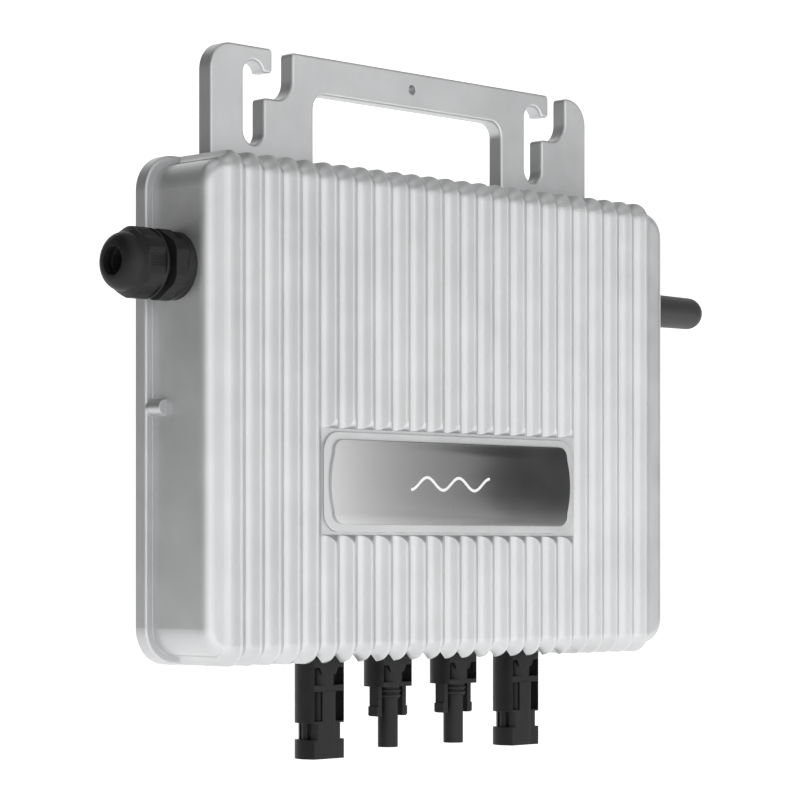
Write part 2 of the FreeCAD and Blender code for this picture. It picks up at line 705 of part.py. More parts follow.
def socket_connector(index, side):
    shell = join(plug_neck(index) + [
        flat_round(index, "plug_size / 2", 2.6, 24.1),
        flat_round(index, 7.95, 26.6, 6.4),
        flat_round(index, "plug_size / 2", 32.95, 7.4),
    ])
    tools = [
        plug_round(index, "mouth_bore / 2", "40.35 - mouth_deep", 20),
        plug_round(index, 3.6, 12, 18),
        plug_round(index, 3.2, -12, 30),
        plug_grooves(index, 5.65, 6.7, "slot_core + 0.2"),
        plug_grooves(index, 14.65, 11.4, "slot_core"),
    ]
    # the other half's latch arms pass up through the lower block
    tools += [plug_slab(index, 2.4, 6.2, 25.8, 20, way * 6.6) for way in (-1, 1)]
    node("socket_" + side, cut(shell, tools))
    node("socket_contact_" + side, join([plug_round(index, 1.9, -13, 20), plug_round(index, 1.4, 7, 20)]))
    node("socket_core_" + side, cut(plug_round(index, 3.15, -9, 15), [plug_round(index, 1.95, -12, 30)]))


def latch_arm(index, way):
    """A sprung arm with a round root to bend about and a barb near its tip."""
    middle = plug_at(index, "latch_root")
    root_at = ["%s + (%g)" % (middle[0], way * 6.6), "plug_y - 2.5", middle[2]]
    arm = join([cylinder(1.0, 5.0, root_at, "y"),
                plug_slab(index, 2.0, 5.0, "latch_root", 11.35, way * 6.6),
                plug_slab(index, 0.9, 5.0, 21.8, 3.6, way * 7.8)])
    return arm


def pin_connector(index, side):
    across, _, root = plug_at(index, "latch_root")
    shell = join(plug_neck(index) + [
        flat_round(index, "plug_size / 2", 2.6, 11.5),
        plug_round(index, 3.95, 14, 23.8),
        plug_round(index, 4.5, 14.0, 4.9),
    ])
    seals = (15.0, 17.0)
    tools = [plug_round(index, 2.4, -12, 60), plug_grooves(index, 5.65, 6.7, "slot_core + 0.2")]
    tools += [cut(plug_round(index, 5, start, 1.5), [plug_round(index, 3.6, start, 1.5)]) for start in seals]
    for way in (-1, 1):
        tools.append(cylinder(1.05, 5.3, ["%s + (%g)" % (across, way * 6.6), "plug_y - 2.65", root], "y"))
    node("plug_" + side, cut(shell, tools))
    node("plug_seals_" + side, group([torus(4.3, 0.68, plug_at(index, start + 0.75)) for start in seals]))
    node("plug_contact_" + side, cut(plug_round(index, 2.1, -13, 46), [plug_round(index, 1.4, 12, 40)]))
    names = ("outer", "inner") if side == "left" else ("inner", "outer")
    for way, name in zip((-1, 1), names):
        node("latch_%s_%s" % (side, name), latch_arm(index, way))


def connectors():
    socket_connector(0, "left")
    pin_connector(1, "left")
    pin_connector(2, "right")
    socket_connector(3, "right")
    node("connector_seals", group([cut(plug_round(i, 9.6, 0, 1.2), [plug_round(i, 8.05, -1, 4)])
                                   for i in range(4)]))
    nut_at = "-body_height / 2 - opening_low - 3.5"
    node("connector_nuts", group([cut(prism(19.5, 3.5, plug_at(i, nut_at), "-z"), [plug_round(i, 8.05, -12, 12)])
                                  for i in range(4)]))


# ---------------------------------------------------------------- electronics inside

def on_board(length, width, tall, x, z):
    """A block that stands on the board's front side; x and z give its middle."""
    return box(length, tall, width, ["(%g) - (%s) / 2" % (x, length), "board_y - (%s)" % tall,
                                     "(%g) - (%s) / 2" % (z, width)])


def can_on_board(radius, tall, x, z):
    return cylinder(radius, tall, [x, "board_y", z], "-y")


def main_board():
    plate = box("board_half * 2", "board_thick", "board_high - board_low",
                ["-board_half", "board_y", "board_low"])
    holes = [cylinder(1.6, "board_thick + 2", [x, "board_y - 1", z], "y") for x, z in board_screw_places()]
    node("main_board", cut(plate, holes))
    screws_made = []
    for x, z in board_screw_places():
        shank = cylinder(1.15, 7, [x, "board_y - 7 + board_thick", z], "y")
        head = cylinder(2.6, 1.8, [x, "board_y + board_thick", z], "y")
        screws_made.append(join([shank, head]))
    node("board_screws", group(screws_made))


def power_parts():
    for side, x in (("left", -56), ("right", 24)):
        core = on_board(34, 28, 18, x, 6)
        window = on_board(22, 30, 12, x, 6)
        window.setExpression("Placement.Base.y", expression("board_y - 15"))
        post = on_board(9, 28, 14, x, 6)
        post.setExpression("Placement.Base.y", expression("board_y - 16"))
        node("transformer_core_" + side, join([cut(core, [window]), post]))
        outer = on_board(21.6, 34, 11.6, x, 6)
        outer.setExpression("Placement.Base.y", expression("board_y - 14.8"))
        hole = on_board(9.2, 28.4, 14, x, 6)
        hole.setExpression("Placement.Base.y", expression("board_y - 16"))
        node("transformer_winding_" + side, cut(rounded(outer, 2, along("y")), [hole]))
    node("capacitors", group([can_on_board(7.9, 18.5, -92 + 18 * i, -54) for i in range(8)]))
    node("film_capacitors", group([on_board(18, 9, 14, x, z) for x, z in ((66, 20), (66, 4), (88, 34))]))
    node("relays", group([on_board(16, 20, 15, x, 34) for x in (-88, -66)]))
    choke()
    node("power_transistors", group([transistor(x, z) for x, z in transistor_places()]))
    node("thermal_pads", group([box(12, 0.9, 14, [x - 6, "-body_depth + wall_thick", z - 7])
                                for x, z in transistor_places()]))
    terminal = cut(on_board(14, 26, 14, -100, 8),
                   [cylinder(2.0, 10, [-108, "board_y - 7", 8 + step], "x") for step in (-8.5, 0, 8.5)])
    node("cable_terminal", terminal)
    node("radio_module", join([on_board(22, 30, 1.2, 98, 4), on_board(16, 16, 3.2, 98, 2)]))


def transistor(x, z):
    """A flat power transistor against its pad, with three legs back to the board."""
    face = "-body_depth + wall_thick + 0.9"
    case = box(10, 4.6, 14, [x - 5, face, z - 7])
    legs = [box(1, "body_depth - wall_thick + board_y - 3.5", 0.8, [x - 0.5 + step, face + " + 2.6", z - 7.5])
            for step in (-3, 0, 3)]
    return join([case] + legs)


def transistor_places():
    return [(x, z) for x in (-70, -50, -30, 10, 30, 50) for z in (-26,)] + [(x, 40) for x in (-20, 14, 34, 54)]


def choke():
    """A ring core with its turns of wire."""
    core = tube(13, 8, 8, [74, "board_y - 11.2", -30], "y")
    node("choke_core", core)
    turns_made = []
    for i in range(10):
        angle = math.radians(36 * i)
        at = [74 + 10.5 * math.cos(angle), "board_y - 7.2", -30 + 10.5 * math.sin(angle)]
        loop = torus(6.0, 0.75, at)
        loop.Placement.Rotation = FreeCAD.Rotation(FreeCAD.Vector(0, 1, 0), -36 * i)
        turns_made.append(loop)
    node("choke_winding", group(turns_made))


def wire_path(points, radius):
    """A round wire along straight runs joined by arcs."""
    at = [FreeCAD.Vector(*point) for point in points]
    edges = []
    start = at[0]
    for before, corner, after in zip(at, at[1:], at[2:]):
        back = (before - corner).normalize()
        ahead = (after - corner).normalize()
        half = back.getAngle(ahead) / 2
        trim = 0.45 * min((before - corner).Length, (after - corner).Length)
        bend = trim * math.tan(half)
        leave = corner + back * trim
        arrive = corner + ahead * trim
        bisector = (back + ahead).normalize()
        middle = corner + bisector * (bend / math.sin(half) - bend)
        edges.append(Part.LineSegment(start, leave).toShape())
        edges.append(Part.Arc(leave, middle, arrive).toShape())
        start = arrive
    edges.append(Part.LineSegment(start, at[-1]).toShape())
    path = Part.Wire(edges)
    ring = Part.Wire([Part.makeCircle(radius, at[0], at[1] - at[0])])
    return path.makePipeShell([ring], True, False)


def leads():
    """Wires held inside the housing, each from its contact to the board."""
    made = []
    floor = -size("body_height") / 2
    for i in range(4):
        x = number(plug_x(i))
        y = size("plug_y")
        made.append(wire_path([(x, y, floor + 13.1), (x, y, floor + 17), (x + 4, y + 1, floor + 24),
                               (x + 4, size("board_y") - 2, floor + 27)], 1.3))
    thing = doc.addObject("Part::Feature", "DcLeads")
    thing.Shape = Part.makeCompound(made)
    thing.Placement = FreeCAD.Placement()
    node("plug_leads", thing)
    start = size("body_width") / 2 - 15.1
    side = size("side_y")
    up = size("side_z")
    lead = wire_path([(start, side, up), (start - 3.6, side, up), (start - 3.6, side + 1, up - 13),
                      (103, side + 2, 30), (98, size("board_y") - 4.2, 10)], 0.9)
    thing = doc.addObject("Part::Feature", "AerialLead")
    thing.Shape = lead
    thing.Placement = FreeCAD.Placement()
    node("aerial_lead", thing)


def write_parts():
    doc.recompute()
    failed = [thing.Name for thing in doc.Objects if "Invalid" in thing.State or "Error" in thing.State]
    if failed:
        raise RuntimeError("failed objects: " + ", ".join(failed))
    os.makedirs("parts", exist_ok=True)
    for name, thing in nodes.items():
        shape = thing.Shape
        if shape.isNull() or not shape.isValid() or not shape.Solids:
            raise RuntimeError("bad shape: " + name)
        shape.exportStep(os.path.join("parts", name + ".step"))
        print("%-26s solids %2d  volume %.0f" % (name, len(shape.Solids), shape.Volume))


finned_housing()
rear_cover()
cover_gasket()
screws()
mounting_bracket()
name_plate()
gland_body()
gland_inside()
gland_dome()
aerial()
connectors()
main_board()
power_parts()
leads()
write_parts()
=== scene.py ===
import json
import math

import bpy
import numpy as np
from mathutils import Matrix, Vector


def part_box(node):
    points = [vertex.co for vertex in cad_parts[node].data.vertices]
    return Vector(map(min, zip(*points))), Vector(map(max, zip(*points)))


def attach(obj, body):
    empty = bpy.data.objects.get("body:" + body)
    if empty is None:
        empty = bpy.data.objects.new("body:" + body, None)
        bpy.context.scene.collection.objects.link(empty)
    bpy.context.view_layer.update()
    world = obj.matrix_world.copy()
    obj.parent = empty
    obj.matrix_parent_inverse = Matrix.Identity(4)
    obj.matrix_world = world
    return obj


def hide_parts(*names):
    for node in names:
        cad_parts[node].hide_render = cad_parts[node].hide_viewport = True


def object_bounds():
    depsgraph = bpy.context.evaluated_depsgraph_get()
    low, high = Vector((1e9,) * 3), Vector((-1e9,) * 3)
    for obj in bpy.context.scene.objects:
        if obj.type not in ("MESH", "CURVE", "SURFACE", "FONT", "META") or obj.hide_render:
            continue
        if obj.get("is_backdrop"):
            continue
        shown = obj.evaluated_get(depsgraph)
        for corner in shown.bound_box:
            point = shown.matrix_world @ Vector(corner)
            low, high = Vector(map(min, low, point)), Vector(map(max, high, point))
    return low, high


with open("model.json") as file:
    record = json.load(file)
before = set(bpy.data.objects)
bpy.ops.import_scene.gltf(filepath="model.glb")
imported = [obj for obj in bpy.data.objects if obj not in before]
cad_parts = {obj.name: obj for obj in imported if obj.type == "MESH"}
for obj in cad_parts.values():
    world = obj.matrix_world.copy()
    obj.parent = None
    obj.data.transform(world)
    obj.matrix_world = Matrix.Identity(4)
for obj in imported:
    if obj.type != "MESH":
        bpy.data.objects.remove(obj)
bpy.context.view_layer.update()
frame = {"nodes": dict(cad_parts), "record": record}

nodes = frame["nodes"]
mm = 0.001


class Wire:
    # a socket that can stand in a sum; every operator adds one Math node
    def __init__(self, paint, socket):
        self.paint = paint
        self.socket = socket

    def sum(self, operation, first, second):
        return self.paint.node("Math", {"operation": operation}, {0: first, 1: second})

    def __add__(self, other):
        return self.sum("ADD", self, other)

    def __radd__(self, other):
        return self.sum("ADD", other, self)

    def __sub__(self, other):
        return self.sum("SUBTRACT", self, other)

    def __rsub__(self, other):
        return self.sum("SUBTRACT", other, self)

    def __mul__(self, other):
        return self.sum("MULTIPLY", self, other)

    def __rmul__(self, other):
        return self.sum("MULTIPLY", other, self)

    def __pow__(self, other):
        return self.sum("POWER", self, other)


class Paint:
    # one material, and the one method that makes any node in it
    def __init__(self, name):
        self.material = bpy.data.materials.new(name)
        self.material.use_nodes = True
        self.tree = self.material.node_tree
        self.shader = self.tree.nodes["Principled BSDF"]
        self.place = self.node("TexCoord", {}, {}, "Object")

    def node(self, kind, settings, inputs, output=0):
        made = self.tree.nodes.new("ShaderNode" + kind)
        for key, value in settings.items():
            if key == "stops":
                ramp = made.color_ramp.elements
                while len(ramp) < len(value):
                    ramp.new(1.0)
                for stop, (where, shade) in zip(ramp, value):
                    stop.position = where
                    stop.color = (*shade, 1.0)
            else:
                setattr(made, key, value)
        for key, value in inputs.items():
            self.feed(made.inputs[key], value)
        return Wire(self, made.outputs[output])

    def feed(self, socket, value):
        if isinstance(value, Wire):
            self.tree.links.new(value.socket, socket)
        elif isinstance(value, tuple) and len(value) == 3 and socket.type == "RGBA":
            socket.default_value = (*value, 1.0)
        else:
            socket.default_value = value

    def coat(self, values):
        # feeds the shader's own sockets
        for key, value in values.items():
            self.feed(self.shader.inputs[key], value)

    def noise(self, scale, detail=3.0, roughness=0.55, stretch=None):
        where = self.place
        if stretch:
            where = self.node("Mapping", {}, {"Vector": where, "Scale": stretch})
        values = {"Vector": where, "Scale": scale, "Detail": detail, "Roughness": roughness}
        return self.node("TexNoise", {}, values, "Fac")

    def dots(self, scale):
        return self.node("TexVoronoi", {}, {"Vector": self.place, "Scale": scale}, "Distance")

    def limit(self, value, low, high, newLow=0.0, newHigh=1.0):
        return self.node("MapRange", {"clamp": True}, {
            "Value": value, "From Min": low, "From Max": high, "To Min": newLow, "To Max": newHigh})

    def blend(self, share, first, second):
        return self.node("Mix", {"data_type": "RGBA"}, {"Factor": share, 6: first, 7: second}, 2)

    def worn(self, radius):
        # the rounded normal leaves the true one only near an edge, so the gap between them marks edges
        soft = self.node("Bevel", {"samples": 6}, {"Radius": radius})
        true = self.node("NewGeometry", {}, {}, "Normal")
        same = self.node("VectorMath", {"operation": "DOT_PRODUCT"}, {0: soft, 1: true}, "Value")
        return soft, self.limit(1 - same, 0.01, 0.22)

    def bump(self, height, distance, strength=1.0, normal=None):
        values = {"Height": height, "Distance": distance, "Strength": strength}
        if normal:
            values["Normal"] = normal
        return self.node("Bump", {}, values, "Normal")


# finishes: the values of each stand in the dictionary above it

castSilver = {
    "colour": (0.60, 0.605, 0.61),
    "shade": (0.53, 0.535, 0.54),
    "edge": (0.78, 0.785, 0.79),
    "grain": 2600.0,
    "patch": 45.0,
    "roughness": (0.34, 0.46),
    "metallic": 0.72,
    "edgeRound": 0.45 * mm,
    "grainHeight": 0.035 * mm,
}


def castPaint(name, values):
    # silver powder coat on a casting: fine grains, slow patches, and paler rubbed edges
    paint = Paint(name)
    grain = paint.noise(values["grain"], 2.0)
    patch = paint.noise(values["patch"], 4.0)
    fleck = paint.limit(paint.dots(values["grain"] * 0.6), 0.0, 0.35, 1.0, 0.0)
    soft, edge = paint.worn(values["edgeRound"])
    colour = paint.blend(paint.limit(patch, 0.3, 0.7), values["shade"], values["colour"])
    colour = paint.blend(paint.limit(fleck * grain, 0.35, 0.75) * 0.35, colour, values["edge"])
    colour = paint.blend(edge * paint.limit(patch + grain, 0.7, 1.2) * 0.55, colour, values["edge"])
    low, high = values["roughness"]
    rough = paint.limit(patch * 0.6 + grain * 0.4, 0.3, 0.7, low, high)
    normal = paint.bump(grain + patch * 0.6, values["grainHeight"], 0.55, soft)
    paint.coat({"Base Color": colour, "Roughness": rough, "Metallic": values["metallic"], "Normal": normal})
    return paint.material


sheetSilver = {
    "colour": (0.56, 0.565, 0.57),
    "line": (0.47, 0.475, 0.48),
    "brush": (20.0, 20.0, 900.0),
    "roughness": (0.30, 0.42),
    "edgeRound": 0.3 * mm,
}


def sheetPaint(name, values):
    # rolled sheet: long faint streaks along X and a few scuffs
    paint = Paint(name)
    streak = paint.noise(3.0, 5.0, 0.6, values["brush"])
    scuff = paint.limit(paint.noise(60.0, 6.0), 0.58, 0.7)
    soft, edge = paint.worn(values["edgeRound"])
    colour = paint.blend(paint.limit(streak, 0.3, 0.7), values["line"], values["colour"])
    colour = paint.blend(edge * 0.5 + scuff * 0.15, colour, (0.75, 0.755, 0.76))
    low, high = values["roughness"]
    rough = paint.limit(streak, 0.3, 0.7, low, high) + scuff * 0.12
    normal = paint.bump(streak, 0.02 * mm, 0.4, soft)
    paint.coat({"Base Color": colour, "Roughness": rough, "Metallic": 0.9, "Normal": normal})
    return paint.material


mouldings = {
    "nylon_black": {
        "colour": (0.011, 0.011, 0.012), "pale": (0.045, 0.045, 0.047), "roughness": (0.40, 0.54),
        "grain": 1900.0, "height": 0.05 * mm, "edgeRound": 0.30 * mm, "specular": 0.20},
    "plug_black": {
        "colour": (0.010, 0.010, 0.011), "pale": (0.035, 0.035, 0.037), "roughness": (0.36, 0.48),
        "grain": 1500.0, "height": 0.03 * mm, "edgeRound": 0.30 * mm, "specular": 0.20},
    "aerial_black": {
        "colour": (0.030, 0.030, 0.031), "pale": (0.050, 0.050, 0.052), "roughness": (0.46, 0.58),
        "grain": 1700.0, "height": 0.03 * mm, "edgeRound": 0.25 * mm, "specular": 0.36},
    "rubber_black": {
        "colour": (0.012, 0.012, 0.012), "pale": (0.030, 0.030, 0.031), "roughness": (0.62, 0.80),
        "grain": 900.0, "height": 0.05 * mm, "edgeRound": 0.20 * mm, "specular": 0.35},
    "lead_black": {
        "colour": (0.016, 0.016, 0.017), "pale": (0.034, 0.034, 0.036), "roughness": (0.42, 0.56),
        "grain": 1200.0, "height": 0.03 * mm, "edgeRound": 0.15 * mm, "specular": 0.45},
    "insulator_grey": {
        "colour": (0.30, 0.30, 0.29), "pale": (0.40, 0.40, 0.39), "roughness": (0.40, 0.52),
        "grain": 1300.0, "height": 0.03 * mm, "edgeRound": 0.20 * mm, "specular": 0.5},
    "ferrite_grey": {
        "colour": (0.075, 0.075, 0.078), "pale": (0.14, 0.14, 0.145), "roughness": (0.55, 0.75),
        "grain": 1100.0, "height": 0.08 * mm, "edgeRound": 0.30 * mm, "specular": 0.20},
    "part_dark": {
        "colour": (0.025, 0.025, 0.028), "pale": (0.06, 0.06, 0.065), "roughness": (0.34, 0.50),
        "grain": 1400.0, "height": 0.03 * mm, "edgeRound": 0.20 * mm, "specular": 0.5},
    "film_yellow": {
        "colour": (0.62, 0.42, 0.07), "pale": (0.72, 0.52, 0.14), "roughness": (0.24, 0.36),
        "grain": 700.0, "height": 0.03 * mm, "edgeRound": 0.40 * mm, "specular": 0.5},
    "pad_blue": {
        "colour": (0.10, 0.20, 0.42), "pale": (0.17, 0.28, 0.50), "roughness": (0.60, 0.78),
        "grain": 900.0, "height": 0.06 * mm, "edgeRound": 0.15 * mm, "specular": 0.4},
}


def mouldedPaint(name, values):
    # spark-eroded plastic or rubber: a fine even grain, cloudy gloss, scuffed paler edges
    paint = Paint(name)
    grain = paint.noise(values["grain"], 3.0, 0.6)
    cloud = paint.noise(70.0, 4.0)
    pits = paint.dots(values["grain"] * 1.4)
    soft, edge = paint.worn(values["edgeRound"])
    share = paint.limit(cloud, 0.35, 0.75) * 0.3 + edge * paint.limit(cloud, 0.3, 0.6) * 0.6
    colour = paint.blend(share, values["colour"], values["pale"])
    low, high = values["roughness"]
    rough = paint.limit(grain * 0.5 + cloud * 0.5, 0.35, 0.65, low, high) - edge * 0.06
    normal = paint.bump(grain + pits * 0.5, values["height"], 0.5, soft)
    paint.coat({"Base Color": colour, "Roughness": rough, "Normal": normal,
                "Specular IOR Level": values["specular"]})
    return paint.material


metals = {
    "screw_steel": {"colour": (0.50, 0.50, 0.49), "dull": (0.36, 0.36, 0.35), "roughness": (0.24, 0.42),
                    "scratch": (40.0, 40.0, 1400.0), "edgeRound": 0.12 * mm},
    "contact_tin": {"colour": (0.70, 0.69, 0.66), "dull": (0.52, 0.51, 0.48), "roughness": (0.22, 0.38),
                    "scratch": (60.0, 60.0, 700.0), "edgeRound": 0.10 * mm},
    "winding_copper": {"colour": (0.72, 0.33, 0.13), "dull": (0.45, 0.17, 0.06), "roughness": (0.20, 0.34),
                       "scratch": (90.0, 90.0, 90.0), "edgeRound": 0.10 * mm},
}


def metalPaint(name, values):
    # bare metal: fine scratches one way and dull tarnish in clouds
    paint = Paint(name)
    scratch = paint.noise(4.0, 6.0, 0.65, values["scratch"])
    cloud = paint.noise(220.0, 4.0)
    soft, edge = paint.worn(values["edgeRound"])
    dullness = paint.limit(cloud, 0.35, 0.7) * (1 - edge)
    colour = paint.blend(dullness, values["colour"], values["dull"])
    low, high = values["roughness"]
    rough = paint.limit(scratch * 0.5 + cloud * 0.5, 0.35, 0.65, low, high)
    normal = paint.bump(scratch, 0.015 * mm, 0.5, soft)
    paint.coat({"Base Color": colour, "Roughness": rough, "Metallic": 1.0, "Normal": normal})
    return paint.material


glossBlack = {
    "colour": (0.012, 0.012, 0.013),
    "haze": (0.022, 0.022, 0.024),
    "fade": (0.50, 0.50, 0.505),    # painted reflection: grey at the left end, standing in for the light the gloss film reflects there
    "reflectionFrom": -72.0 * mm,
    "reflectionTo": 50.0 * mm,
    "roughness": (0.20, 0.27),
    "coatRoughness": 0.14,
}


def plateGloss(name, values):
    # gloss label film, black with faint haze and hairlines; its colour carries a painted reflection, grey
    # at the left fading to near black at the right, standing in for the light the film reflects
    paint = Paint(name)
    across = paint.node("SeparateXYZ", {}, {"Vector": paint.place}, "X")
    # painted reflection: share of the painted grey, 1 at the left end and falling to 0 towards the right
    fade = paint.limit(across, values["reflectionFrom"], values["reflectionTo"], 1.0, 0.0)
    haze = paint.noise(35.0, 5.0)
    hairs = paint.limit(paint.noise(5.0, 6.0, 0.7, (30.0, 30.0, 1200.0)), 0.6, 0.8)
    colour = paint.blend(paint.limit(haze, 0.4, 0.7), values["colour"], values["haze"])
    # painted reflection: the grey is mixed into the black film colour by that share
    colour = paint.blend(fade ** 3.0 + haze * 0.02, colour, values["fade"])
    low, high = values["roughness"]
    rough = paint.limit(haze, 0.35, 0.7, low, high) + hairs * 0.08
    normal = paint.bump(haze * 0.3 + hairs * 0.2, 0.01 * mm, 0.3)
    paint.coat({"Base Color": colour, "Roughness": rough, "Normal": normal, "Specular IOR Level": 0.9,
                "Coat Weight": 1.0, "Coat Roughness": values["coatRoughness"], "Coat IOR": 1.7})
    return paint.material


printWhite = {"colour": (0.86, 0.86, 0.85), "thin": (0.70, 0.70, 0.69)}


def printPaint(name, values):
    # screen-printed ink: flat white, a little thin in specks
    paint = Paint(name)
    speck = paint.noise(1600.0, 3.0)
    colour = paint.blend(paint.limit(speck, 0.35, 0.6), values["thin"], values["colour"])
    rough = paint.limit(speck, 0.3, 0.7, 0.42, 0.55)
    paint.coat({"Base Color": colour, "Roughness": rough, "Normal": paint.bump(speck, 0.02 * mm, 0.4)})
    return paint.material


boardGreen = {
    "mask": (0.015, 0.12, 0.05),
    "track": (0.03, 0.20, 0.08),
    "tin": (0.62, 0.61, 0.57),
    "grid": 130.0,
}


def boardPaint(name, values):
    # green solder mask with paler tracks on a grid and small tinned pads
    paint = Paint(name)
    tracks = paint.node("TexBrick", {}, {
        "Vector": paint.node("Mapping", {}, {"Vector": paint.place, "Rotation": (math.pi / 2, 0, 0)}),
        "Color1": values["mask"], "Color2": values["mask"], "Mortar": values["track"],
        "Scale": values["grid"], "Mortar Size": 0.035, "Mortar Smooth": 0.2})
    pads = paint.limit(paint.dots(values["grid"] * 1.4), 0.10, 0.13, 1.0, 0.0)
    colour = paint.blend(pads, tracks, values["tin"])
    cloud = paint.noise(90.0, 4.0)
    rough = paint.limit(cloud, 0.3, 0.7, 0.26, 0.40)
    normal = paint.bump(pads + cloud * 0.2, 0.05 * mm, 0.5)
    paint.coat({"Base Color": colour, "Metallic": pads * 0.9, "Roughness": rough, "Normal": normal})
    return paint.material


finishes = {name: mouldedPaint(name, values) for name, values in mouldings.items()}
finishes.update({name: metalPaint(name, values) for name, values in metals.items()})
finishes["cast_silver"] = castPaint("cast_silver", castSilver)
finishes["cover_silver"] = sheetPaint("cover_silver", sheetSilver)
finishes["plate_black"] = plateGloss("plate_black", glossBlack)
finishes["board_green"] = boardPaint("board_green", boardGreen)
printInk = printPaint("print_white", printWhite)
print("finishes:", len(finishes) + 1)

for piece in frame["record"]["subparts"]:
    for slot in nodes[piece["node"]].material_slots:
        slot.material = finishes[piece["material_slot"]]
print("frame painted:", len(nodes), "nodes")


def surface(name, grid, finish, body, wrap=(False, False), capped=(False, False), smooth=True):
    # grid[i, j] is a point of the surface; wrap closes it along i or j; capped closes its end rows
    rows, columns, _ = grid.shape
    points = grid.reshape(-1, 3)
    index = np.arange(rows * columns).reshape(rows, columns)
    below = np.roll(index, -1, 0) if wrap[0] else index[1:]
    here = index if wrap[0] else index[:-1]
    right = np.roll(here, -1, 1) if wrap[1] else here[:, 1:]
    belowRight = np.roll(below, -1, 1) if wrap[1] else below[:, 1:]
    if not wrap[1]:
        here = here[:, :-1]
        below = below[:, :-1]
    faces = np.stack([here, right, belowRight, below], -1).reshape(-1, 4).tolist()
    if capped[0]:
        faces.append(index[0][::-1].tolist())
    if capped[1]:
        faces.append(index[-1].tolist())
    mesh = bpy.data.meshes.new(name)
    mesh.from_pydata(points.tolist(), [], faces)
    mesh.validate()
    if smooth:
        mesh.shade_smooth()
    piece = bpy.data.objects.new(name, mesh)
    bpy.context.scene.collection.objects.link(piece)
    piece.data.materials.append(finish)
    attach(piece, body)
    return piece


namePlate = {
    "width": 134.0 * mm,        # over the bulge of both short sides
    "height": 32.0 * mm,
    "bulge": 3.8 * mm,
    "corner": 4.5 * mm,
    "edgeRound": 0.35 * mm,
    "steps": 12,
}


def plateOutline(values, inset):
    # two straight long sides, four quarter rounds, and short sides that bulge as a sine half wave
    halfWide = values["width"] / 2 - values["bulge"] - inset
    halfTall = values["height"] / 2 - inset
    corner = values["corner"] - inset
    turn = np.linspace(0, np.pi / 2, values["steps"])
    rise = np.linspace(-1, 1, 3 * values["steps"])[1:-1]
    side = halfTall - corner
    right = np.stack([halfWide + values["bulge"] * (1 - (rise * side / halfTall) ** 2), rise * side], -1)
    lean = right[0, 0] - halfWide
    upper = np.stack([halfWide - corner + lean + corner * np.cos(turn), side + corner * np.sin(turn)], -1)
    lower = upper[::-1] * (1, -1)
    half = np.concatenate([lower, right, upper])
    return np.concatenate([half, -half])


def buildPlate(values):
    low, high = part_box("name_plate")
    centre = (low + high) / 2
    rings = []
    front = low.y
    for turn in np.linspace(0, np.pi / 2, 5):
        # the rim rolls over as a quarter round
        inset = values["edgeRound"] * (1 - math.cos(turn))
        depth = front + values["edgeRound"] * (1 - math.sin(turn))
        outline = plateOutline(values, inset)
        rings.append(np.insert(outline, 1, 0, 1) + (centre.x, depth, centre.z))
    back = plateOutline(values, 0)
    rings.insert(0, np.insert(back, 1, 0, 1) + (centre.x, high.y, centre.z))
    grid = np.array(rings)
    grid[:, :, 1] = np.clip(grid[:, :, 1], front, high.y)
    plate = surface("gloss_plate", grid, finishes["plate_black"], "housing",
                    (False, True), (True, True))
    plate.data.set_sharp_from_angle(angle=math.radians(25))
    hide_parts("name_plate")
    return centre.x, front, centre.z


plateX, plateFront, plateZ = buildPlate(namePlate)


# printed wave symbol: a plain sine wave

waveMark = {
    "reach": 22.0 * mm,
    "tall": 2.4 * mm,
    "stroke": 1.1 * mm,
    "waves": 2.5,
    "shift": -3.0 * mm,
    "thick": 0.06 * mm,
}


def ribbon(name, path, stroke, front, thick):
    # a flat strip of even width: each point of the path is moved half a stroke along the path's own normal
    along = np.gradient(path, axis=0)
    along /= np.linalg.norm(along, axis=1)[:, None]
    across = np.stack([-along[:, 1], along[:, 0]], -1) * stroke / 2
    left = path + across
    right = path - across
    section = [(left, front), (right, front), (right, front + thick), (left, front + thick)]
    grid = np.stack([np.insert(line, 1, depth, 1) for line, depth in section], 1)
    return surface(name, grid, printInk, "housing", (False, True), (True, True), False)


def buildMark(values):
    travel = np.linspace(-1, 1, 161)
    height = values["tall"] * np.sin(travel * np.pi * values["waves"])
    path = np.stack([travel * values["reach"] + plateX + values["shift"], height + plateZ], -1)
    ribbon("wave_mark", path, values["stroke"], plateFront - values["thick"], values["thick"] * 1.5)


buildMark(waveMark)
print("plate and mark done")


# grip ribs in the middle of each facet of the gland's cap nut

gripRibs = {
    "facets": 6,
    "facetRadius": 12.0 * mm,    # from the nut's axis to a facet
    "halfWide": 2.7 * mm,
    "ribs": 7,
    "height": 0.32 * mm,
    "sink": 0.25 * mm,
    "bury": 0.02 * mm,
    "start": 1.2 * mm,
    "length": 6.2 * mm,
    "steps": 57,
}


def buildRibs(values):
    # each strip is a row of raised cosine ribs along its facet, closed by a flat just inside the nut
    low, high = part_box("gland_dome_nut")
    middle = (low + high) / 2
    across = np.linspace(-1, 1, values["steps"])
    wave = 0.5 + 0.5 * np.cos(np.pi * (across * values["ribs"] + 1))
    fade = np.clip((1 - np.abs(across)) * values["ribs"] * 1.5, 0, 1)
    rise = values["height"] * wave * fade - values["bury"]
    u = np.concatenate([across, across[::-1]]) * values["halfWide"]
    v = values["facetRadius"] + np.concatenate([rise, np.full(values["steps"], -values["sink"])])
    first = high.x - values["start"]
    for facet in range(values["facets"]):
        angle = 2 * np.pi * facet / values["facets"]
        y = middle.y - v * np.cos(angle) + u * np.sin(angle)
        z = middle.z + v * np.sin(angle) + u * np.cos(angle)
        rings = [np.stack([np.full(len(u), x), y, z], -1) for x in (first, first - values["length"])]
        surface("grip_ribs_%d" % facet, np.array(rings)[:, ::-1], finishes["nylon_black"],
                "gland_cap", (False, True), (True, True), False)


buildRibs(gripRibs)


# screw thread of the gland, nearly all of it inside the cap nut

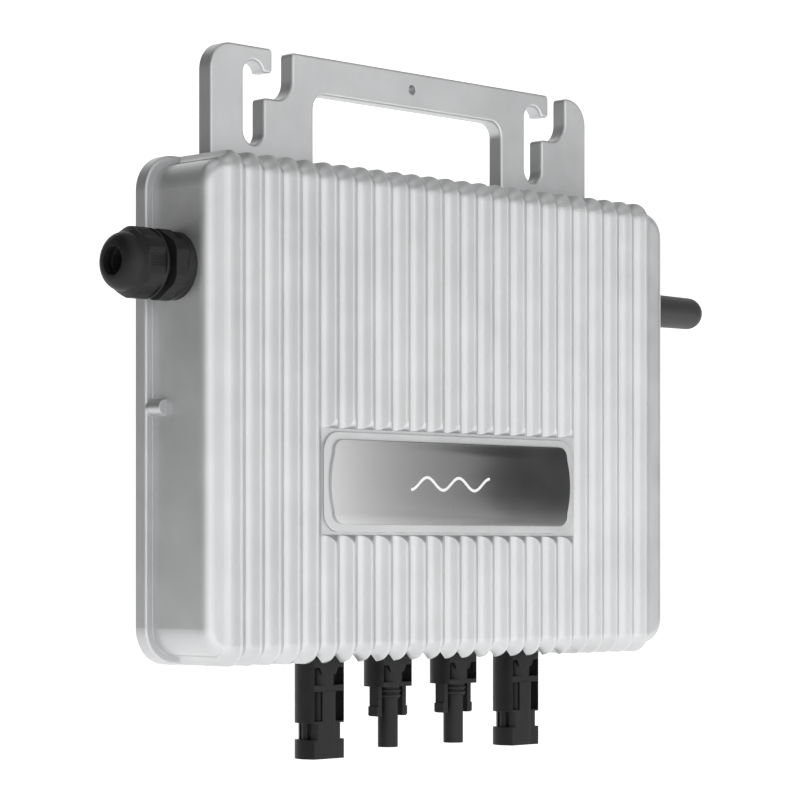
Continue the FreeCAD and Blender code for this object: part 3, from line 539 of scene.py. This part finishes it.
glandThread = {
    "start": 9.7 * mm,           # from the left edge of the housing's flange
    "length": 11.6 * mm,
    "crest": 9.0 * mm,
    "root": 8.62 * mm,
    "inner": 8.1 * mm,
    "pitch": 1.5 * mm,
    "round": 72,
    "stepsPerTurn": 16,
}


def buildThread(values):
    # the crest is a helix: radius = root + rise * triangle wave of (distance / pitch - angle / turn)
    low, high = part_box("gland_body")
    middle = (low + high) / 2
    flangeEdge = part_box("finned_housing")[0].x
    rise = values["crest"] - values["root"]
    turn = np.linspace(0, 2 * np.pi, values["round"], endpoint=False)
    steps = int(values["length"] / values["pitch"] * values["stepsPerTurn"])
    out = np.linspace(0, values["length"], steps + 1)
    phase = (out[:, None] / values["pitch"] - turn[None] / (2 * np.pi)) % 1.0
    ridge = np.clip(1.25 - np.abs(phase - 0.5) * 3.2, 0, 1)
    taper = np.clip(np.minimum(out, values["length"] - out) / (values["pitch"] * 0.5), 0, 1)[:, None]
    lining = np.full((2, values["round"]), values["inner"])
    radius = np.vstack([values["root"] + rise * ridge * taper, lining])
    reach = np.concatenate([out, [values["length"], 0.0]])[:, None] + values["start"]
    x = flangeEdge - np.repeat(reach, values["round"], 1)
    grid = np.stack([x, middle.y + radius * np.cos(turn), middle.z + radius * np.sin(turn)], -1)
    surface("gland_thread", grid[:, ::-1], finishes["nylon_black"], "housing", (True, True))


buildThread(glandThread)


# moulded relief on the flat fronts and backs of the connectors

connectorRelief = {
    "owners": ("socket_left", "plug_left", "plug_right", "socket_right"),
    "deep": 2.6 * mm,
    "steps": 13,
    "parts": {
        # name: top and bottom below the flange, half widths there, reach at the middle and at the edges
        "yoke": (1.9 * mm, 4.8 * mm, 4.9 * mm, 3.5 * mm, 5.45 * mm, 5.45 * mm),
        "block": (4.6 * mm, 9.1 * mm, 3.5 * mm, 3.5 * mm, 5.2 * mm, 4.4 * mm),
        "column": (11.0 * mm, 36.6 * mm, 3.4 * mm, 3.4 * mm, 5.85 * mm, 5.4 * mm),
    },
}


def buildRelief(values):
    # across each part the reach falls from its middle value to its edge value as a parabola
    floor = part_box("finned_housing")[0].z
    across = np.linspace(-1, 1, values["steps"])
    for owner in values["owners"]:
        low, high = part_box(owner)
        middle = (low + high) / 2
        for part, (top, bottom, wideAbove, wideBelow, centre, edge) in values["parts"].items():
            if part == "column" and not owner.startswith("socket"):
                continue
            reach = edge + (centre - edge) * (1 - across ** 2)
            depth = np.concatenate([reach, np.full(values["steps"], centre - values["deep"])])
            share = np.concatenate([across, across[::-1]])
            for label, way in (("front", -1), ("rear", 1)):
                y = middle.y + way * depth
                rings = [np.stack([middle.x + wide * share, y, np.full(len(share), z)], -1)
                         for wide, z in ((wideAbove, floor - top), (wideBelow, floor - bottom))]
                name = "%s_%s_%s" % (part, owner, label)
                surface(name, np.array(rings)[:, ::way], finishes["plug_black"], "housing",
                        (False, True), (True, True), False)


buildRelief(connectorRelief)
print("grip ribs, thread and connector relief done")


stageValues = {
    "drop": 0.30,                # from the object down to the floor, in metres like the rest of these
    "reach": 7.0,
    "curve": 1.6,
    "behind": 3.2,
    "facing": 45.0,
    "colour": (0.93, 0.93, 0.93),
    "pale": (0.95, 0.95, 0.95),
    "glow": 0.80,
    "room": 0.06,                # strength of the even light from all round
}


def buildStage(values):
    # a floor that curves up into a back wall: a flat run, a quarter round and a straight rise
    low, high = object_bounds()
    floor = low.z - values["drop"]
    turn = np.linspace(0, np.pi / 2, 16)
    run = np.concatenate([[-values["reach"]], values["behind"] + values["curve"] * np.sin(turn),
                          [values["behind"] + values["curve"]]])
    rise = np.concatenate([[0.0], values["curve"] * (1 - np.cos(turn)), [values["reach"]]]) + floor
    facing = math.radians(values["facing"])
    side = np.array([-values["reach"], values["reach"]])
    x = run[:, None] * math.cos(facing) - side[None] * math.sin(facing)
    y = run[:, None] * math.sin(facing) + side[None] * math.cos(facing)
    grid = np.stack([x, y, np.repeat(rise[:, None], 2, 1)], -1)
    mesh = bpy.data.meshes.new("sweep")
    index = np.arange(len(run) * 2).reshape(-1, 2)
    quads = np.stack([index[:-1, 0], index[1:, 0], index[1:, 1], index[:-1, 1]], -1)
    mesh.from_pydata(grid.reshape(-1, 3).tolist(), [], quads.tolist())
    mesh.shade_smooth()
    sweep = bpy.data.objects.new("sweep", mesh)
    bpy.context.scene.collection.objects.link(sweep)
    paper = Paint("paper")
    fibre = paper.noise(30.0, 4.0)
    colour = paper.blend(paper.limit(fibre, 0.3, 0.7), values["colour"], values["pale"])
    paper.coat({"Base Color": colour, "Roughness": 0.9, "Emission Color": (1.0, 1.0, 1.0),
                "Emission Strength": values["glow"]})
    mesh.materials.append(paper.material)
    sweep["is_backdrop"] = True


cards = {
    # name: centre, point it faces, width, height, radiance
    "front_card": ((0.50, -1.20, 0.10), (0.50, 0.0, 0.10), 1.72, 1.9, 1.02),
    "strip_card": ((-0.56, -1.32, 0.10), (0.0, 0.0, 0.05), 0.26, 1.9, 2.3),
    "near_card": ((-1.22, -1.07, 0.10), (0.0, 0.0, 0.05), 0.86, 2.0, 0.86),
    "left_card": ((-1.3, 1.3, 0.2), (0.0, 0.0, 0.0), 1.2, 1.6, 0.05),
    "top_card": ((-0.2, -0.3, 1.6), (0.0, 0.0, 0.0), 1.6, 1.6, 0.75),
}


def buildLights(values):
    for name, (centre, target, wide, tall, radiance) in values.items():
        lamp = bpy.data.lights.new(name, "AREA")
        lamp.shape = "RECTANGLE"
        lamp.size = wide
        lamp.size_y = tall
        lamp.energy = radiance * math.pi * wide * tall
        lamp.color = (1.0, 1.0, 1.0)
        card = bpy.data.objects.new(name, lamp)
        card.location = centre
        card.rotation_euler = (Vector(target) - Vector(centre)).to_track_quat("-Z", "Y").to_euler()
        bpy.context.scene.collection.objects.link(card)


def buildRoom(strength):
    world = bpy.data.worlds.new("room")
    world.use_nodes = True
    background = world.node_tree.nodes["Background"]
    background.inputs["Color"].default_value = (1.0, 1.0, 1.0, 1.0)
    background.inputs["Strength"].default_value = strength
    bpy.context.scene.world = world


viewpoint = {
    "place": (-0.7981, -0.8033, -0.05185),
    "turn": -45.0,
    "lens": 127.6,
    "rise": 0.18875,
}


def buildCamera(values):
    camera = bpy.data.cameras.new("camera")
    camera.lens = values["lens"]
    camera.sensor_width = 36.0
    camera.shift_y = values["rise"]
    camera.clip_start = 0.01
    eye = bpy.data.objects.new("camera", camera)
    eye.location = values["place"]
    eye.rotation_euler = (math.pi / 2, 0.0, math.radians(values["turn"]))
    bpy.context.scene.collection.objects.link(eye)
    bpy.context.scene.camera = eye


buildStage(stageValues)
buildLights(cards)
buildRoom(stageValues["room"])
buildCamera(viewpoint)
bpy.context.scene.view_settings.view_transform = "Standard"
bpy.context.scene.view_settings.look = "None"
print("stage, light and camera done")
